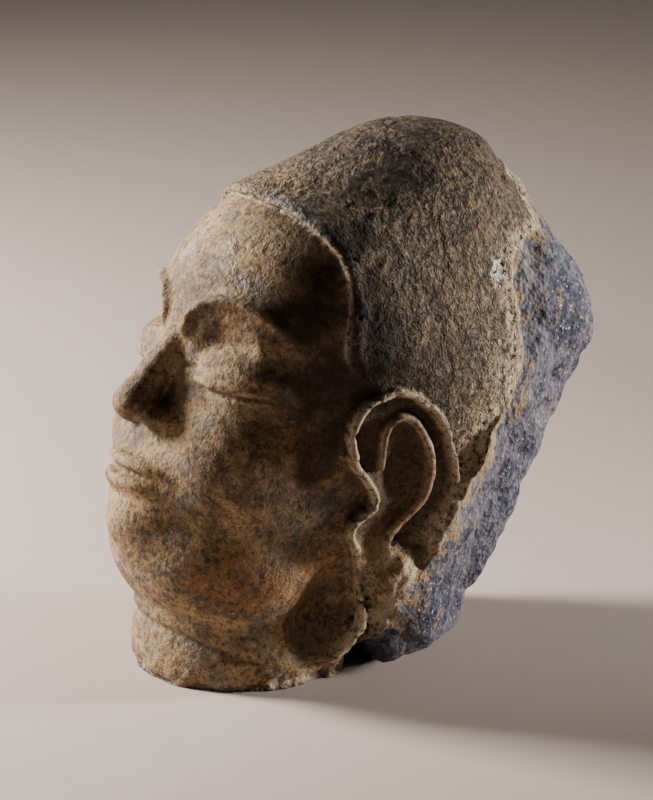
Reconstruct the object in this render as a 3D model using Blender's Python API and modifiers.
"""A life-size stone head, broken from its figure at the neck and split off its backing rock.

The head is one solid.  Its carving is written as a distance field, a function that is negative
inside the stone and positive outside.  A sphere is cast onto that field, remeshed and thinned.
Every place below is in thirds of the face height, in the head's own frame: x to the figure's
left, y backwards from the front of the chin, z upwards from the underside of the chin.
"""
import math

import bmesh
import bpy
import numpy as np

# Driving dimensions, in metres and degrees
FACE_HEIGHT = 0.171
BACKWARD_TILT = 22.0
TRIANGLES = 9400

THIRD = FACE_HEIGHT / 3
SNAP = THIRD / 285
FAR = 9.0

# Sizes in thirds: the neck, the raised edge of the hair, the ear's rims and the channels between
NECK_RADIUS = 0.86
NECK_FLARE = 0.05
HAIR_STEP = 0.058
EAR_RIM_HALF_WIDTH = 0.04
EAR_DEPTH = 0.109

# Where the chin's front stands over the middle of the neck's base, in thirds
CHIN_BACK = -1.26
CHIN_UP = 1.118

# Rounded masses: centre, radii, turn about the upright axis in degrees, blend width
CRANIUM = (
    ((0, 1.86, 2.16), (1.29, 1.84, 1.47), 0, 0.25),
    ((0, 1.20, 2.20), (1.14, 1.17, 0.98), 0, 0.25),
    ((0, 1.89, 3.10), (0.84, 0.95, 0.88), 0, 0.35),
)
FACE_MASSES = (
    ((0, 1.20, 1.42), (1.11, 1.17, 1.30), 0, 0.20),
    ((0, 1.02, 0.78), (0.99, 0.97, 0.76), 0, 0.20),
    ((0, 0.40, 0.30), (0.36, 0.41, 0.28), 0, 0.25),
    ((0.50, 0.58, 1.05), (0.48, 0.46, 0.50), 25, 0.20),
    ((0, 1.12, 0.22), (0.98, 0.95, 0.68), 0, 0.15),
    ((0.58, 1.52, 0.58), (0.43, 0.50, 0.60), 0, 0.15),
    ((0.45, 1.72, -0.15), (0.50, 0.36, 0.60), 0, 0.12),
)
NAPE = ((0, 2.35, 1.00), (1.27, 0.80, 1.50), 0, 0.12)
SOCKET = ((0.60, 0, 1.70), (0.50, 0.25, 0.43), 30, 0.03)
EYEBALL = ((0.54, 0.45, 1.61), (0.43, 0.30, 0.27), 30, 0.06)
NOSE_TIP = ((0, -0.14, 1.18), (0.165, 0.18, 0.14), 0, 0.09)
NOSTRIL_WING = ((0.16, 0.07, 1.13), (0.115, 0.21, 0.11), 20, 0.09)
NOSTRIL = ((0.10, -0.04, 1.00), (0.055, 0.10, 0.05), 0, 0.03)
MOUTH_MOUND = ((0, 0.30, 0.68), (0.48, 0.33, 0.36), 0, 0.18)
# The eye's long line over the lid: middle, half width, how far both edges rise, lid thickness
EYE_MIDDLE = 0.55
EYE_HALF_WIDTH = 0.34
UPPER_EDGE = (1.505, 0.05)
LOWER_EDGE = (1.455, 0.085)
UPPER_LID = 0.03
LOWER_LID = 0.02
BROW_RISE = 0.045
BROW_WIDTH = 0.055
MOUTH_CORNER = (0.46, 0.665)
CHIN_DIP_UP = 0.44
MOUTH_DIP = 0.02
CHIN_DIP = 0.025
LOBE_HOLLOW = ((1.12, 1.54, 0.03), (0.34, 0.23, 0.38), 0, 0.06)
EAR_HOLLOW = ((1.22, 1.66, 1.33), (0.16, 0.17, 0.28), 0, 0.05)

# Round bars: both ends, both radii
NOSE_BRIDGE = ((0, 0.16, 2.02), (0, -0.13, 1.27), 0.13, 0.14)
PHILTRUM = ((0, -0.08, 0.97), (0, -0.12, 0.83), 0.045, 0.05)

# Lips as tapering cords: place and radius of each knot, from the middle to the corner
UPPER_LIP = (
    ((0, -0.02, 0.728), 0.070),
    ((0.10, -0.03, 0.742), 0.073),
    ((0.21, 0.01, 0.718), 0.058),
    ((0.32, 0.085, 0.690), 0.038),
    ((0.41, 0.17, 0.676), 0.014),
)
LOWER_LIP = (
    ((0, -0.025, 0.580), 0.090),
    ((0.12, -0.015, 0.586), 0.084),
    ((0.23, 0.035, 0.612), 0.062),
    ((0.32, 0.100, 0.646), 0.038),
    ((0.38, 0.160, 0.668), 0.014),
)

# Carved lines: the brow as (side, up), the ear's as (back, up)
BROW = ((0.15, 1.86), (0.20, 2.00), (0.36, 2.14), (0.60, 2.20), (0.84, 2.14), (1.02, 1.99))
EAR_HELIX = (
    (1.16, 1.33), (1.09, 1.42), (1.04, 1.53), (1.03, 1.63), (1.05, 1.73), (1.11, 1.82), (1.20, 1.89),
    (1.30, 1.94), (1.42, 1.95), (1.55, 1.92), (1.70, 1.87), (1.82, 1.79), (1.93, 1.69), (2.02, 1.58),
    (2.10, 1.47), (2.14, 1.37), (2.14, 1.26), (2.11, 1.15), (2.09, 1.03), (2.07, 0.92),
)
EAR_FOLD = (
    (1.43, 1.33), (1.38, 1.47), (1.34, 1.58), (1.36, 1.68), (1.42, 1.75), (1.51, 1.76), (1.62, 1.71),
    (1.74, 1.62), (1.83, 1.52), (1.90, 1.40), (1.93, 1.28), (1.93, 1.17), (1.89, 1.07), (1.84, 0.97),
    (1.79, 0.87), (1.77, 0.78), (1.79, 0.71), (1.85, 0.65),
)
EAR_FRONT = (
    (1.12, 1.34), (1.21, 1.27), (1.31, 1.22), (1.41, 1.16), (1.50, 1.08), (1.52, 0.99), (1.47, 0.91),
    (1.42, 0.83), (1.42, 0.75), (1.46, 0.69), (1.52, 0.64),
)
LOBE_BACK = ((2.12, 0.75), (2.12, 0.50), (2.07, 0.15), (1.88, 0.10), (1.76, 0.28))
EAR_HEIGHTS = (-0.1, 0.5, 1.2, 1.9)
EAR_SIDE = (1.05, 1.14, 1.24, 1.34)
LOBE_RIM = (
    ((1.08, 1.72, 0.38), 0.040),
    ((1.07, 1.81, 0.22), 0.050),
    ((1.03, 1.84, 0.06), 0.045),
    ((0.98, 1.83, -0.10), 0.040),
    ((0.90, 1.79, -0.30), 0.040),
)
# The cap of hair's edge as (way round the head, up)
HAIRLINE = (
    (-0.45, 2.97), (0, 3.00), (0.30, 2.995), (0.54, 2.96), (0.78, 2.89), (0.95, 2.80), (1.07, 2.69),
    (1.145, 2.56), (1.20, 2.43), (1.24, 2.24), (1.29, 2.06), (1.45, 1.95), (1.85, 1.78), (2.10, 1.40),
    (2.20, 0.90), (2.30, 0.20), (2.40, -0.60),
)
SKULL_AXIS_BACK = 1.6
SKULL_ROUND = 1.3

# The broken rock: how far back the carving ends at each height, the block behind, its flat faces
EDGE_HEIGHTS = (-0.4, 0.17, 0.43, 0.82, 1.05, 1.48, 1.84, 2.16, 2.51, 2.82, 3.02, 3.17, 3.35, 3.54)
EDGE_BACK = (1.95, 2.03, 2.06, 2.18, 2.20, 2.29, 2.30, 2.41, 2.35, 2.24, 2.12, 2.14, 2.26, 2.60)
EDGE_WANDER = 0.03
WANDER_SIZE = 0.2
BLOCK_CENTRE = (0, 2.1, 1.55)
BLOCK_RADII = (1.34, 1.55, 2.15)
CLEFTS = (
    ((0.10, 0.985, -0.14), (0, 3.42, 2.67)),
    ((0, 0.66, 0.75), (0, 3.00, 3.46)),
    ((0.45, 0.42, 0.79), (0.9, 2.80, 3.30)),
    ((0.90, 0.42, -0.05), (1.29, 2.40, 1.60)),
    ((-0.90, 0.40, -0.10), (-1.25, 2.30, 1.60)),
    ((0.20, 0.54, -0.78), (0.5, 2.83, -0.02)),
)
FOOT_NOTCH = ((1.35, 1.98, -0.10), (0.35, 2.25, -0.42), 0.17, 0.09)
SCOOP_SIZE = 0.55
SCOOP_DEPTH = 0.11
FLAKE_SIZE = 0.24
FLAKE_DEPTH = 0.035

# The throat's crease and the chips round the neck's broken rim
CREASE_UP = -0.47
CREASE_DEPTH = 0.035
CHIP_SIZE = 0.3
CHIP_DEPTH = 0.07
CHIP_HEIGHT = 0.22

# How the mesh is made
CAST_CENTRE = (0, 1.6, 1.7)
CAST_SUBDIVISIONS = 7
CAST_ROUNDS = 26
COARSE_VOXEL = 0.045
FINE_VOXEL = 0.026
FLOOR_DEPTH = 0.35


def ellipsoid(points, centre, radii, yaw=0):
    """Distance to an ellipsoid whose sideways axis is turned back by yaw."""
    local = points - np.array(centre, float)
    if yaw:
        c, s = math.cos(math.radians(yaw)), math.sin(math.radians(yaw))
        side, back, up = local.T
        local = np.stack([c * side + s * back, c * back - s * side, up], axis=1)
    scaled = local / np.array(radii, float)
    length = np.linalg.norm(scaled, axis=1)
    gradient = np.linalg.norm(scaled / np.array(radii, float), axis=1)
    return length * (length - 1) / np.maximum(gradient, 1e-6)


def bar(points, start, end, start_radius, end_radius):
    """Distance to a tapering round bar."""
    start = np.array(start, float)
    run = np.array(end, float) - start
    along = np.clip((points - start) @ run / (run @ run), 0, 1)
    radius = start_radius + (end_radius - start_radius) * along
    return np.linalg.norm(points - start - along[:, None] * run, axis=1) - radius


def cord(points, knots):
    """Distance to a tapering round cord through the knots."""
    nearest = np.full(len(points), FAR)
    for (start, start_radius), (end, end_radius) in zip(knots[:-1], knots[1:]):
        nearest = np.minimum(nearest, bar(points, start, end, start_radius, end_radius))
    return nearest


def join(a, b, blend):
    """Union of two fields with a soft seam."""
    overlap = np.maximum(blend - np.abs(a - b), 0) / blend
    return np.minimum(a, b) - overlap ** 2 * blend / 4


def meet(a, b, blend):
    """What two fields share, with a soft edge."""
    return -join(-a, -b, blend)


def cut(a, b, blend):
    """The first field less the second, with a soft edge."""
    return -join(-a, b, blend)


def ease(low, high, value):
    """Smooth step from 0 at low to 1 at high."""
    share = np.clip((value - low) / (high - low), 0, 1)
    return share * share * (3 - 2 * share)


def ridge(distance, width):
    """A rounded ridge along a line, 1 on it and falling away over the width."""
    return np.exp(-(distance / width) ** 2)


def hashed(cells, seed):
    """A repeatable value from 0 to 1 for each whole-numbered cell."""
    n = cells[:, 0] * 73856093 ^ cells[:, 1] * 19349663 ^ cells[:, 2] * 83492791 ^ seed * 2971215073
    n = (n ^ (n >> 15)) * 2246822519 & 0xFFFFFFFF
    n = (n ^ (n >> 13)) * 3266489917 & 0xFFFFFFFF
    return ((n ^ (n >> 16)) & 0xFFFF) / 65535


def scoops(points, size, seed):
    """Squared distance, in cells, to the nearest of many scattered places: bowls with sharp rims."""
    cell = np.floor(points / size).astype(np.int64)
    inside = points / size - cell
    nearest = np.full(len(points), FAR)
    for offset in np.ndindex(3, 3, 3):
        neighbour = np.array(offset) - 1
        squared = np.zeros(len(points))
        for axis in range(3):
            place = neighbour[axis] + hashed(cell + neighbour, seed + axis)
            squared += (inside[:, axis] - place) ** 2
        nearest = np.minimum(nearest, squared)
    return nearest


def swell(points, size, seed):
    """Smooth noise from -1 to 1."""
    cell = np.floor(points / size).astype(np.int64)
    inside = ease(0, 1, points / size - cell)
    total = np.zeros(len(points))
    for corner in np.ndindex(2, 2, 2):
        weight = np.prod(np.where(corner, inside, 1 - inside), axis=1)
        total += weight * hashed(cell + np.array(corner), seed)
    return 2 * total - 1


def curve_through(places, pieces=6):
    """A smooth curve through the places, as a row of short straight lines."""
    places = np.array(places, float)
    places = np.vstack([2 * places[0] - places[1], places, 2 * places[-1] - places[-2]])
    line = []
    for a, b, c, d in zip(places, places[1:], places[2:], places[3:]):
        for t in np.arange(pieces) / pieces:
            square, cube = t * t, t * t * t
            bend = (2 * a - 5 * b + 4 * c - d) * square + (3 * b - a - 3 * c + d) * cube
            line.append((2 * b + (c - a) * t + bend) / 2)
    line.append(places[-2])
    return np.array(line)


def line_distance(points, line):
    """Distance of flat points to a line, and the share of the line at the nearest place."""
    nearest = np.full(len(points), FAR)
    share = np.zeros(len(points))
    for i, (start, end) in enumerate(zip(line[:-1], line[1:])):
        run = end - start
        offset = points - start
        along = np.clip(offset @ run / (run @ run), 0, 1)
        distance = np.hypot(offset[:, 0] - along * run[0], offset[:, 1] - along * run[1])
        closer = distance < nearest
        nearest = np.where(closer, distance, nearest)
        share = np.where(closer, (i + along) / (len(line) - 1), share)
    return nearest, share


def inside_loop(points, loop):
    """True where a flat point is inside the closed loop."""
    inside = np.zeros(len(points), bool)
    for start, end in zip(loop, np.roll(loop, -1, axis=0)):
        if start[1] == end[1]:
            continue
        crossed = (start[1] > points[:, 1]) != (end[1] > points[:, 1])
        slope = (end[0] - start[0]) / (end[1] - start[1])
        inside ^= crossed & (points[:, 0] < start[0] + (points[:, 1] - start[1]) * slope)
    return inside


BROW_LINE = curve_through(BROW)
HELIX_LINE = curve_through(EAR_HELIX)
FOLD_LINE = curve_through(EAR_FOLD)
FRONT_LINE = curve_through(EAR_FRONT)
HAIR_LINE = curve_through(HAIRLINE)
EAR_OUTLINE = np.vstack([HELIX_LINE, LOBE_BACK, FRONT_LINE[::-1]])


def standing(points):
    """Head frame to the tilted place over the middle of the neck's base, in thirds."""
    c, s = math.cos(math.radians(BACKWARD_TILT)), math.sin(math.radians(BACKWARD_TILT))
    side, back, up = points.T
    return np.stack([side, CHIN_BACK + c * back + s * up, CHIN_UP - s * back + c * up], axis=1)


def add_masses(field, points, masses):
    """Joins each rounded mass to the field."""
    for centre, radii, yaw, blend in masses:
        field = join(field, ellipsoid(points, centre, radii, yaw), blend)
    return field


def carve_mass(field, points, mass):
    """Cuts one rounded hollow out of the field."""
    centre, radii, yaw, blend = mass
    return cut(field, ellipsoid(points, centre, radii, yaw), blend)


def add_eye(field, points):
    """Brow rim, socket, and a lowered lid over a long narrow eye."""
    side, _, up = points.T
    brow, share = line_distance(points[:, [0, 2]], BROW_LINE)
    field = field - BROW_RISE * ridge(brow, BROW_WIDTH) * ease(1.0, 0.7, share)
    field = carve_mass(field, points, SOCKET)
    centre, radii, yaw, blend = EYEBALL
    across = (side - EYE_MIDDLE) / EYE_HALF_WIDTH
    rise = across ** 2
    upper_edge = UPPER_EDGE[0] + UPPER_EDGE[1] * rise + 0.012 * across
    lower_edge = LOWER_EDGE[0] + LOWER_EDGE[1] * rise + 0.012 * across
    upper_lid = UPPER_LID * ease(-0.012, 0.012, up - upper_edge)
    lower_lid = LOWER_LID * ease(-0.012, 0.012, lower_edge - up)
    return join(field, ellipsoid(points, centre, radii, yaw) - upper_lid - lower_lid, blend)


def add_nose(field, points):
    """Bridge, tip, wings and nostrils."""
    field = join(field, bar(points, *NOSE_BRIDGE), 0.08)
    field = add_masses(field, points, (NOSE_TIP, NOSTRIL_WING))
    return carve_mass(field, points, NOSTRIL)


def add_mouth(field, points):
    """The mound of the mouth, the groove over it, two full lips and the dip under them."""
    side, back, up = points.T
    field = add_masses(field, points, (MOUTH_MOUND,))
    field = cut(field, bar(points, *PHILTRUM), 0.05)
    lips = join(cord(points, UPPER_LIP), cord(points, LOWER_LIP), 0.012)
    field = join(field, lips, 0.035)
    corner = ridge(np.hypot(side - MOUTH_CORNER[0], up - MOUTH_CORNER[1]), 0.10)
    under_lip = ridge(np.hypot(side * 0.35, up - CHIN_DIP_UP), 0.07)
    return field + (MOUTH_DIP * corner + CHIN_DIP * under_lip) * (back < 0.6)


def add_ear(field, points):
    """The long ear: a rolled rim, an inner fold and the flap before the hollow, with channels between."""
    side, _, up = points.T
    flat = points[:, 1:]
    helix, _ = line_distance(flat, HELIX_LINE)
    fold, _ = line_distance(flat, FOLD_LINE)
    front, _ = line_distance(flat, FRONT_LINE)
    outline, _ = line_distance(flat, EAR_OUTLINE)
    outline = np.where(inside_loop(flat, EAR_OUTLINE), -outline, outline)
    rims = np.maximum(ridge(helix, 1.3 * EAR_RIM_HALF_WIDTH), 0.9 * ridge(front, 1.3 * EAR_RIM_HALF_WIDTH))
    rims = np.maximum(rims, 0.85 * ridge(fold, 1.2 * EAR_RIM_HALF_WIDTH))
    channel = EAR_DEPTH * (0.35 + 0.65 * ease(0.45, 0.9, up)) * (1 - rims)
    level = np.interp(up, EAR_HEIGHTS, EAR_SIDE) - channel
    field = cut(field, meet(outline, level - side, 0.01), 0.02)
    return join(field, meet(outline - 0.6 * EAR_RIM_HALF_WIDTH, 0.7 * (side - level), 0.03), 0.03)


def hair_depth(points):
    """How far inside the cap of hair's edge a point is, measured over the skull."""
    around = np.arctan2(points[:, 0], SKULL_AXIS_BACK - points[:, 1]) * SKULL_ROUND
    distance, _ = line_distance(np.stack([around, points[:, 2]], axis=1), HAIR_LINE)
    above = points[:, 2] > np.interp(around, HAIR_LINE[:, 0], HAIR_LINE[:, 1])
    return np.where(above, distance, -distance)


def add_neck(field, points, placed):
    """The upright neck with a crease where the throat meets it."""
    radius = NECK_RADIUS + NECK_FLARE * ease(0.45, 0, placed[:, 2])
    trunk = meet(np.hypot(placed[:, 0], placed[:, 1]) - radius, placed[:, 2] - 1.4, 0.1)
    field = join(field, trunk, 0.03)
    crease = ridge(points[:, 2] - CREASE_UP, CREASE_DEPTH) * ease(1.5, 1.0, points[:, 1])
    chips = ease(CHIP_HEIGHT, 0, placed[:, 2]) * scoops(points, CHIP_SIZE, 9)
    return field + (CREASE_DEPTH * crease + CHIP_DEPTH * chips) * (field < 0.3)


def add_rock(field, points):
    """The unworked rock behind the carving, broken into flat faces and scoops."""
    edge = points[:, 1] - np.interp(points[:, 2], EDGE_HEIGHTS, EDGE_BACK)
    edge = edge + EDGE_WANDER * swell(points, WANDER_SIZE, 5)
    local = np.abs((points - BLOCK_CENTRE) / BLOCK_RADII)
    block = ((local ** 3).sum(axis=1) ** (1 / 3) - 1) * BLOCK_RADII[0]
    field = join(field, meet(block, -edge - 0.02, 0.03), 0.03)
    bowls = SCOOP_DEPTH * scoops(points, SCOOP_SIZE, 3) + FLAKE_DEPTH * scoops(points, FLAKE_SIZE, 7)
    field = field + ease(0, 0.05, edge) * (0.01 + 0.7 * bowls)
    for normal, place in CLEFTS:
        normal = np.array(normal) / np.linalg.norm(normal)
        field = meet(field, (points - place) @ normal + bowls, 0.02)
    return cut(field, bar(points, *FOOT_NOTCH), 0.05)


def carving(points):
    """The whole stone, in thirds and in the head frame."""
    mirrored = np.abs(points * (1, 0, 0)) + points * (0, 1, 1)
    placed = standing(points)
    skull = add_masses(np.full(len(points), FAR), mirrored, CRANIUM)
    field = join(skull, add_masses(np.full(len(points), FAR), mirrored, FACE_MASSES), 0.2)
    side, back, up = mirrored.T
    near = (back < 1.1) & (up > 0.2) & (up < 2.5) & (field < 0.5)
    if near.any():
        field[near] = add_eye(field[near], mirrored[near])
        field[near] = add_nose(field[near], mirrored[near])
        field[near] = add_mouth(field[near], mirrored[near])
    field = add_neck(field, points, placed)
    near = field < 0.3
    if near.any():
        field[near] -= HAIR_STEP * ease(-0.04, 0.035, hair_depth(mirrored[near]))
    field = add_masses(field, mirrored, (NAPE,))
    near = (side > 0.6) & (back > 0.7) & (back < 2.5) & (up > -0.7) & (up < 2.3)
    if near.any():
        beside = carve_mass(field[near], mirrored[near], LOBE_HOLLOW)
        beside = join(beside, cord(mirrored[near], LOBE_RIM), 0.08)
        beside = add_ear(beside, mirrored[near])
        field[near] = carve_mass(beside, mirrored[near], EAR_HOLLOW)
    near = back > 1.5
    if near.any():
        field[near] = add_rock(field[near], points[near])
    return meet(field, -placed[:, 2] - FLOOR_DEPTH, 0.02)


def vertex_places(mesh):
    """The mesh's vertices as rows of three numbers."""
    places = np.zeros(len(mesh.vertices) * 3)
    mesh.vertices.foreach_get("co", places)
    return places.reshape(-1, 3)


def move_vertices(mesh, places):
    """Puts the mesh's vertices in new places."""
    mesh.vertices.foreach_set("co", np.asarray(places, np.float32).ravel())
    mesh.update()


def cast(mesh):
    """Draws each vertex of a unit sphere in along its own ray until it meets the stone."""
    rays = vertex_places(mesh)
    rays /= np.linalg.norm(rays, axis=1)[:, None]
    reach = np.full(len(rays), 3.0)
    for _ in range(CAST_ROUNDS):
        gap = carving(CAST_CENTRE + rays * reach[:, None])
        reach = np.maximum(reach - 0.9 * gap, 0.3)
    move_vertices(mesh, CAST_CENTRE + rays * reach[:, None])


def settle(mesh, reach, rounds=3):
    """Moves each vertex along its normal onto the carving, by at most the reach each round."""
    step = 0.003
    places = vertex_places(mesh)
    for _ in range(rounds):
        normals = np.zeros(places.size)
        mesh.vertex_normals.foreach_get("vector", normals)
        normals = normals.reshape(-1, 3)
        gap = carving(places)
        slope = np.maximum((carving(places + normals * step) - gap) / step, 0.4)
        places = places - np.clip(gap / slope, -reach, reach)[:, None] * normals
        move_vertices(mesh, places)


def apply_modifier(obj, kind, **settings):
    """Adds one modifier with its settings and applies it."""
    modifier = obj.modifiers.new(kind.title(), kind)
    for name, value in settings.items():
        setattr(modifier, name, value)
    bpy.context.view_layer.objects.active = obj
    bpy.ops.object.modifier_apply(modifier=modifier.name)


def cut_flat(mesh):
    """Saws the neck and the rock's foot off at floor level and closes the cut."""
    shape = bmesh.new()
    shape.from_mesh(mesh)
    geometry = shape.verts[:] + shape.edges[:] + shape.faces[:]
    bmesh.ops.bisect_plane(shape, geom=geometry, dist=SNAP, plane_co=(0, 0, 0), plane_no=(0, 0, 1),
                           clear_inner=True)
    for vertex in shape.verts:
        if vertex.co.z < SNAP:
            vertex.co.z = 0
    bmesh.ops.holes_fill(shape, edges=[edge for edge in shape.edges if edge.is_boundary], sides=0)
    bmesh.ops.dissolve_degenerate(shape, edges=shape.edges[:], dist=SNAP)
    bmesh.ops.triangulate(shape, faces=shape.faces[:])
    bmesh.ops.recalc_face_normals(shape, faces=shape.faces[:])
    shape.to_mesh(mesh)
    shape.free()


def stone_material():
    """Weathered brown stone."""
    material = bpy.data.materials.new("brown_stone")
    material.use_nodes = True
    surface = material.node_tree.nodes["Principled BSDF"]
    surface.inputs["Base Color"].default_value = (0.26, 0.17, 0.095, 1)
    surface.inputs["Roughness"].default_value = 0.6
    surface.inputs["Metallic"].default_value = 0
    return material


def make_head(collection):
    """The carved head, its box centred on the origin and its underside on the floor."""
    bpy.ops.mesh.primitive_ico_sphere_add(subdivisions=CAST_SUBDIVISIONS, radius=1)
    head = bpy.context.object
    head.name = "head"
    head.data.name = "head"
    for owner in list(head.users_collection):
        owner.objects.unlink(head)
    collection.objects.link(head)
    cast(head.data)
    for voxel in (COARSE_VOXEL, FINE_VOXEL):
        apply_modifier(head, "REMESH", mode="VOXEL", voxel_size=voxel)
        settle(head.data, voxel)
    triangles = 2 * len(head.data.polygons)
    apply_modifier(head, "DECIMATE", ratio=TRIANGLES / triangles)
    move_vertices(head.data, standing(vertex_places(head.data)) * THIRD)
    cut_flat(head.data)
    places = vertex_places(head.data)
    middle = (places.min(axis=0) + places.max(axis=0)) / 2
    move_vertices(head.data, places - middle * (1, 1, 0))
    head.data.shade_smooth()
    head.data.set_sharp_from_angle(angle=math.radians(40))
    head.data.materials.append(stone_material())
    return head


def main():
    for obj in list(bpy.data.objects):
        bpy.data.objects.remove(obj)
    collection = bpy.data.collections.new("stone_head")
    bpy.context.scene.collection.children.link(collection)
    make_head(collection)


if __name__ == "__main__":
    main()
